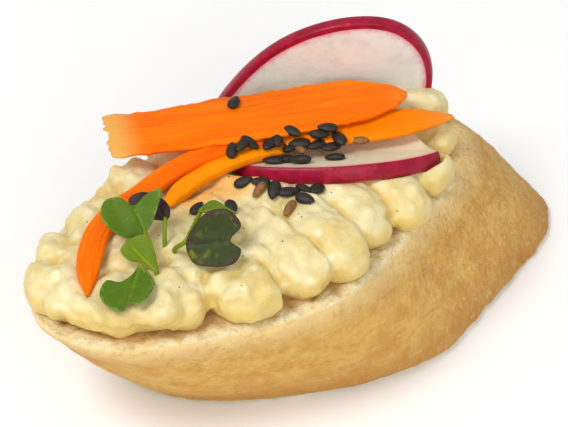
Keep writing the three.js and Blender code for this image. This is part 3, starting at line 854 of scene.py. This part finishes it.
def ribbon_shape(rows, torn, pale, gold, thick, wave, fringe, seed):
    """A wavy peeled ribbon, thin at its ragged edges and frayed at both ends."""
    line = spline(rows, RIBBON_ROWS)
    path, reach = line[:, :3], line[:, 3]
    along = ways_along(path)
    side = unit(np.column_stack([-along[:, 1], along[:, 0], np.zeros(len(along))]))
    normal = np.cross(along, side)
    run = np.concatenate([[0], np.cumsum(np.linalg.norm(np.diff(path, axis=0), axis=1))])
    across = np.sin(np.linspace(-0.5, 0.5, RIBBON_SPLITS + 1) * math.pi * 0.9) / math.sin(0.45 * math.pi)
    teeth = soft_noise(np.outer(across, (6, 0, 0)), 1, seed)
    teeth = teeth + 0.5 * soft_noise(np.outer(across, (15, 0, 0)), 1, seed + 1)
    ragged = 1 + fringe * 0.3 * np.abs(soft_noise(np.outer(run, (1, 0, 0)), 0.9, seed + 5))
    ragged -= fringe * 0.3 * np.abs(soft_noise(np.outer(run, (1, 0, 0)), 2.2, seed + 6))
    rings, grains, pales = [], [], []
    for i in range(RIBBON_ROWS):
        u = i / (RIBBON_ROWS - 1)
        start_share = max(1 - u / 0.06, 0) ** 2
        end_share = max(1 - (1 - u) / 0.2, 0) ** 2
        shift = (start_share * torn[0] - end_share * torn[1]) * (1 + teeth)
        wide = across * reach[i] * np.where(np.abs(across) > 0.8, ragged[i], 1)
        spots = path[i] + np.outer(wide, side[i]) + np.outer(shift, along[i])
        ripple = wave * soft_noise(spots * (0.7, 0.7, 0), 5, seed + 2)
        ripple += 0.05 * soft_noise(spots, 1.2, seed + 3)
        curl = -0.25 * across ** 2 * thick
        spots = spots + np.outer(ripple + curl, normal[i])
        edge = 1 - 0.45 * smoothstep(0.93, 1, np.abs(across))
        end_thin = 0.35 + 0.65 * smoothstep(0, 0.08, u) * smoothstep(1, 0.9, u)
        half = (0.5 * thick * edge * end_thin)[:, None] * normal[i]
        rings.append(np.concatenate([spots + half, (spots - half)[::-1]]))
        place = np.column_stack([np.full(len(across), run[i]), across * reach[i], across * 0 + seed])
        grains.append(np.concatenate([place, place[::-1]]))
        light = pale[0] * smoothstep(0.11, 0.01, u) + pale[1] * smoothstep(0.75, 1, u)
        pales.append(np.full(2 * len(across), light))
    count = len(rings[0])
    points = np.concatenate(rings)
    faces = tube_faces(RIBBON_ROWS, count)
    for start in (0, (RIBBON_ROWS - 1) * count):
        for i in range(RIBBON_SPLITS):
            quad = (start + i, start + i + 1, start + count - 2 - i, start + count - 1 - i)
            faces.append(quad[::-1] if start == 0 else quad)
    marks = {"grain": np.concatenate(grains), "pale": np.concatenate(pales),
             "gold": np.full(len(points), float(gold))}
    return points, face_out(points, faces), marks


def make_carrots():
    paint = carrot_paint()
    for seed, (node, ribbon) in enumerate(RIBBONS.items()):
        points, faces, marks = ribbon_shape(**ribbon, seed=50 + 10 * seed)
        make_piece(node.replace("carrot", "carrot_fine"), points, faces, paint, [node], marks)


# ---- Shoots ----
# The path of each stem, from the spread up.
STEMS = {
    "shoot_green": [(-40.3, -6.4, 27), (-40.4, -6.1, 29), (-39.6, -3.8, 30.2), (-38, -0.6, 31.1)],
    "shoot_low": [(-42.4, -8.2, 27), (-42.3, -7.6, 29), (-42.7, -5.5, 30.7)],
    "shoot_purple": [(-36.2, -2.7, 27), (-36.1, -2.6, 28.4), (-35.6, -2, 29.9), (-34.2, -0.4, 31.2)],
    "shoot_dark": [(-35.4, -4.1, 27), (-35.6, -4.2, 28.6), (-35, -6, 31), (-32.5, -5, 32.3),
                   (-30.6, -4.2, 33.3)],
}
# Seed leaves: the foot, the notch at the tip, the way that the leaf faces, and an outline of (along the
# leaf, sideways) from the foot.
TOWARDS_FRONT = (-0.42, -0.52, 0.74)
LEAVES = {
    "shoot_green": [
        dict(foot=(-38.1, -0.9, 31), notch=(-37.6, 2.4, 33.6), face=TOWARDS_FRONT,
             outline=[(0, 0), (0.2, 2.6), (1.8, 4.1), (4.4, 4.8), (6.3, 3.4), (6, 1.4), (4.1, 0),
                      (4.8, -2.3), (4.6, -4.4), (2, -2.6)]),
        dict(foot=(-40.7, -6.7, 29), notch=(-41.8, -2, 31.6), face=TOWARDS_FRONT,
             outline=[(0, 0), (2.3, 0.6), (3.9, 1.6), (5.7, 1.4), (5.5, -1.7), (4.3, -2.6), (2.4, -1.9)]),
    ],
    "shoot_low": [
        dict(foot=(-42.7, -5.7, 30.6), notch=(-47.8, -9.4, 29.1), face=(-0.14, -0.2, 0.97),
             outline=[(0, 0), (2.8, 2.7), (6, 1.9), (6.5, 0), (7.8, -0.2), (8.1, -1.6), (6.5, -3.9),
                      (3.8, -3.7), (3.3, -1.8), (1.9, -0.7)]),
    ],
    "shoot_purple": [
        dict(foot=(-34.4, -0.7, 30.9), notch=(-34.4, 3.1, 33.6), face=TOWARDS_FRONT,
             outline=[(0, -0.3), (0.8, 1.1), (2.6, 3.1), (5.3, 2.8), (5.4, 1.3), (4.8, 0.1),
                      (3.6, -0.9), (2.1, -1.5), (0.8, -1.3)]),
    ],
    "shoot_dark": [
        dict(foot=(-35.1, -6.5, 31.1), notch=(-30.5, -10.5, 31.6), face=(-0.5, -0.55, 0.65),
             outline=[(-0.2, -0.2), (1.3, 2.6), (3.3, 4.2), (6, 4.2), (7.6, 2), (6, 0), (7.4, -1.4),
                      (6.4, -3.2), (3.2, -3.5), (0.7, -2.8)]),
        dict(foot=(-30.8, -4.2, 33.2), notch=(-28.4, -9, 34.5), face=(0.1, 0.3, 0.95),
             outline=[(-0.4, -0.3), (-0.4, 1.3), (0.5, 2.9), (3.2, 1.5), (5.7, -0.2), (3, -0.9),
                      (0.6, -1)]),
    ],
}
LEAF_SHARES = (0.03, 0.15, 0.3, 0.45, 0.6, 0.72, 0.82, 0.9, 0.96, 1)
LEAF_HALF = 0.17


def leaf_shape(foot, notch, face, outline, seed):
    """A seed leaf cupped towards its face, with a furrow along its middle vein."""
    base = np.array(foot, float)
    along = unit(np.array(notch, float) - base)
    side = unit(np.cross(face, along))
    normal = np.cross(along, side)
    edge = spline(outline, 90, closed=True)
    middle = edge.mean(0)
    notch_x = np.linalg.norm(np.array(notch, float) - base)

    def ring(share, sign):
        """The points of one ring, how much of a vein each is, and how near the rim."""
        x, y = (middle + (edge - middle) * share).T
        bow = 0.035 * y ** 2 + 0.16 * np.sin(0.9 * x + seed) * (y / 4) + 0.1 * np.sin(1.7 * y + seed)
        furrow = -0.16 * np.exp(-(y / 0.35) ** 2) * smoothstep(notch_x + 0.3, notch_x - 1.5, x)
        half = LEAF_HALF * math.sqrt(max(1 - share ** 10, 0.03))
        lift = bow + furrow + sign * half
        spots = base + np.outer(x, along) + np.outer(y, side) + np.outer(lift, normal)
        branch = np.abs(((x - 0.8 * np.abs(y)) / 1.5) % 1 - 0.5) * 2
        vein = np.maximum(np.exp(-(y / 0.22) ** 2), 0.45 * smoothstep(0.86, 1, branch))
        return spots, vein * smoothstep(notch_x + 0.5, notch_x - 1.5, x), np.full(len(edge), share)

    order = [(share, -1) for share in LEAF_SHARES] + [(share, 1) for share in LEAF_SHARES[::-1]]
    rings, veins, rims = zip(*[ring(share, sign) for share, sign in order])
    points, faces = loft(rings)
    extra = np.zeros(2)  # for the hubs of the two closing fans
    return points, faces, np.concatenate([*veins, extra]), np.concatenate([*rims, extra])


def stem_shape(corners, base_radius=0.36, tip_radius=0.3, sides=14):
    """A stem whose foot goes down into the spread."""
    foot = (corners[0][0], corners[0][1], corners[0][2] - 1.8)
    line = spline([foot, *corners], 34)
    rings = []
    for i, along in enumerate(ways_along(line)):
        side = unit(np.cross(along, (0.3, 0.2, 0.9)))
        up = np.cross(along, side)
        radius = base_radius + (tip_radius - base_radius) * i / (len(line) - 1)
        rings.append(hoop(line[i], side, up, radius, radius, sides))
    return loft(rings)


def make_shoots():
    green = leaf_paint("leaf_green", (84, 114, 16), (66, 96, 10), (112, 134, 34),
                       (108, 128, 44), (118, 138, 32), 0.93, 0.25)
    dark = leaf_paint("leaf_dark", (54, 66, 22), (38, 46, 20), (124, 128, 8),
                      (62, 42, 28), (34, 40, 18), 0.74, 0.9)
    purple = leaf_paint("leaf_purple", (58, 38, 36), (44, 32, 32), (74, 54, 44),
                        (46, 32, 32), (74, 54, 44), 0.8)
    lime = leaf_paint("leaf_lime", (104, 128, 4), (82, 108, 2), (144, 156, 18),
                      (106, 128, 6), (144, 156, 18), 0.9)
    looks = {"shoot_green": (green, lime), "shoot_low": (green,), "shoot_purple": (purple,),
             "shoot_dark": (dark, lime)}
    for number, (node, leaves) in enumerate(LEAVES.items()):
        for k, leaf in enumerate(leaves):
            points, faces, vein, rim = leaf_shape(**leaf, seed=3 * number + k)
            marks = {"vein": vein, "rim": rim, "stalk": np.zeros(len(points))}
            make_piece(f"{node}_leaf_{k + 1}", points, faces, looks[node][k], [node], marks)
        points, faces = stem_shape(STEMS[node])
        marks = {"vein": np.zeros(len(points)), "rim": np.zeros(len(points)),
                 "stalk": np.full(len(points), 0.35)}
        make_piece(f"{node}_stem", points, faces, lime, [node], marks)


# ---- Sesame and specks ----
# x, y, turn in degrees, and lift over the surface for seeds lying on other seeds.
BLACK_SEEDS = [
    (-17, 6, 50, 0), (-15.5, 5.5, 20, 0.5), (-14, 5.5, -75, 0), (-11.5, 4, 20, 0), (-10.5, 3.5, 55, 0.5),
    (-8, 3, -75, 0), (-9, 2, -10, 0), (-12.5, 2, -40, 0), (-10.5, 1, -40, 0), (-8, 1.5, -35, 0),
    (-10, -1, -45, 0.2), (-5, 0.5, -40, 0), (-6, 0, -10, 0), (-3, -1.5, -100, 0.3), (-4.5, -1.5, -15, 0.3),
    (-5.5, -3.5, -40, 0), (-3.5, 0.5, -40, 0.2), (-19, 1, -25, 0), (-17.5, -1, -40, 0), (-17, -3.5, 40, 0),
    (-15.5, -5, -30, 0), (-13.5, -6, -85, 0.1), (-15, -8, -70, 0), (-12, -7, 15, 0), (-10.5, 13.5, 35, 0),
    (-27.5, 1, 20, 0), (-24, -2.5, -110, 0),
]
BROWN_SEEDS = [(-8.5, 1, -100, 0.5), (-0.5, -3, -40, 0), (-18.5, -2, 15, 0.1), (-17.5, -7.5, 20, 0)]
SEED_LENGTH = (2.9, 3.5)
SEED_PEAK = 0.476  # the largest value of the profile t^0.65 (1 - t)^0.45
SEED_FEET = ((0, 0), (0.8, 0), (-0.8, 0), (0, 0.8), (0, -0.8))
SPECK_TRIES = 60


def seed_shape(length, slim, rng):
    """A flat teardrop, pointed at one end."""
    rings = []
    width = slim * length * rng.uniform(0.54, 0.62)
    thick = length * rng.uniform(0.32, 0.4)
    turns = round_turns(18)
    for t in np.linspace(0.012, 0.99, 17):
        swell = t ** 0.65 * (1 - t) ** 0.45 / SEED_PEAK
        x = (t - 0.5) * length
        rings.append(np.column_stack([np.full(len(turns), x), 0.5 * width * swell * np.cos(turns),
                                      0.5 * thick * swell * np.sin(turns)]))
    points, faces = loft(rings)
    points[:, 2] += 0.05 * np.exp(-(points[:, 1] / 0.12) ** 2) * np.sign(points[:, 2])
    return points, faces


def landing(tree, x, y):
    """Place and slope of the first surface met from above, or the ground where there is none."""
    hit, normal, _, _ = tree.ray_cast((x, y, 60), (0, 0, -1))
    if hit is None:
        return np.array((x, y, 0.0)), np.array((0, 0, 1.0))
    return np.array(hit), np.array(normal)


def make_seeds(name, seeds, paint, slim, tree, rng):
    """Seeds of one kind, each lying along the surface below it."""
    shells = []
    for x, y, turn, lift in seeds:
        length = rng.uniform(*SEED_LENGTH)
        points, faces = seed_shape(length, slim, rng)
        spots = [landing(tree, x + dx, y + dy) for dx, dy in SEED_FEET]
        normal = unit(sum(n for _, n in spots) + np.array((0, 0, 1.5)))
        height = np.mean([p[2] for p, _ in spots])
        yaw = math.radians(turn)
        ahead = np.array((math.cos(yaw), math.sin(yaw), 0))
        ahead = unit(ahead - normal * (ahead @ normal))
        roll = rng.uniform(-0.3, 0.3)
        side = np.cross(normal, ahead)
        level = math.cos(roll) * side + math.sin(roll) * normal
        up = math.cos(roll) * normal - math.sin(roll) * side
        flip = rng.choice((-1, 1))
        spot = np.array((x, y, height + 0.15 * length + lift))
        turned = np.outer(flip * points[:, 0], ahead) + np.outer(flip * points[:, 1], level)
        shells.append((spot + turned + np.outer(points[:, 2], up), faces))
    points, faces = join_arrays(shells)
    make_piece(name, points, faces, paint)


def make_specks(tree, rng):
    """Grains of ground pepper on the spread."""
    shells = []
    for _ in range(SPECK_TRIES):
        spot, _ = landing(tree, rng.uniform(-50, 14), rng.uniform(-17, 15))
        if not TOP + 2.5 < spot[2] < TOP + 7.2:
            continue
        size = rng.uniform(0.07, 0.15)
        turns = round_turns(6)
        rings = []
        for lift, share in ((-0.8, 0.5), (0, 1), (0.7, 0.6)):
            jitter = 1 + 0.3 * np.array([rng.uniform(-1, 1) for _ in turns])
            heights = np.full(len(turns), lift)
            flat = np.column_stack([np.cos(turns) * jitter, np.sin(turns) * jitter, heights])
            rings.append(spot + size * flat * (share, share, 0.6))
        shells.append(loft(rings))
    points, faces = join_arrays(shells)
    paint = seed_paint("pepper_paint", (70, 52, 34), (110, 84, 52))
    make_piece("pepper_specks", points, faces, paint)


def surface_tree():
    """Every surface that something can lie on, in millimetres."""
    shells = []
    carriers = ("bread_slice", "egg_spread", "radish_", "carrot_fine")
    for piece in bpy.data.objects:
        if piece.type == "MESH" and piece.name.startswith(carriers):
            points, faces = mesh_arrays(piece.data)
            shells.append((points / MM, faces))
    points, faces = join_arrays(shells)
    return BVHTree.FromPolygons([tuple(p) for p in points], faces)


# ---- Setting ----
def make_floor():
    half = 2.5
    corners = [(-half, -half, 0), (half, -half, 0), (half, half, 0), (-half, half, 0)]
    mesh = new_mesh("floor", corners, [(0, 1, 2, 3)])
    mesh.materials.append(floor_paint())
    new_object("floor", mesh)


def make_light(name, place, size, power):
    light = bpy.data.lights.new(name, "AREA")
    light.shape = "DISK"
    light.size = size
    light.energy = power
    lamp = new_object(name, light)
    lamp.location = place
    lamp.rotation_euler = (-Vector(place)).to_track_quat("-Z", "Y").to_euler()


def make_setting():
    make_floor()
    make_light("key", (-0.42, 0.02, 0.66), 0.3, 3.1)
    make_light("fill", (-0.3, -0.65, 0.42), 0.6, 2.2)
    world = bpy.data.worlds.new("studio")
    world.use_nodes = True
    background = world.node_tree.nodes["Background"]
    background.inputs["Color"].default_value = (1, 1, 1, 1)
    background.inputs["Strength"].default_value = 0.55
    bpy.context.scene.world = world
    bpy.context.scene.view_settings.view_transform = "Standard"


def make_camera():
    """Looks down at 40 degrees from the front left, close enough for some perspective."""
    azimuth, elevation = math.radians(-40), math.radians(40)
    flat = math.cos(elevation)
    back = Vector((math.sin(azimuth) * flat, -math.cos(azimuth) * flat, math.sin(elevation)))
    target = Vector((-0.0085, 0.0044, 0.015))
    distance = 0.38
    data = bpy.data.cameras.new("camera")
    data.lens = 160.56
    data.sensor_width = 36
    data.clip_start = 0.01
    camera = new_object("camera", data)
    camera.location = target + back * distance
    camera.rotation_euler = (-back).to_track_quat("-Z", "Y").to_euler()
    bpy.context.scene.camera = camera


# ---- Scene ----
make_camera()
make_setting()
make_bread()
make_spread(*spread_shape())
make_radishes()
make_carrots()
make_shoots()
surfaces = surface_tree()
sesame_black = seed_paint("sesame_black", (28, 22, 16), (48, 39, 30))
sesame_brown = seed_paint("sesame_brown", (146, 98, 48), (88, 60, 34))
draws = random.Random(7)
make_seeds("sesame_black_seeds", BLACK_SEEDS, sesame_black, 1, surfaces, draws)
make_seeds("sesame_brown_seeds", BROWN_SEEDS, sesame_brown, 0.78, surfaces, draws)
make_specks(surfaces, draws)
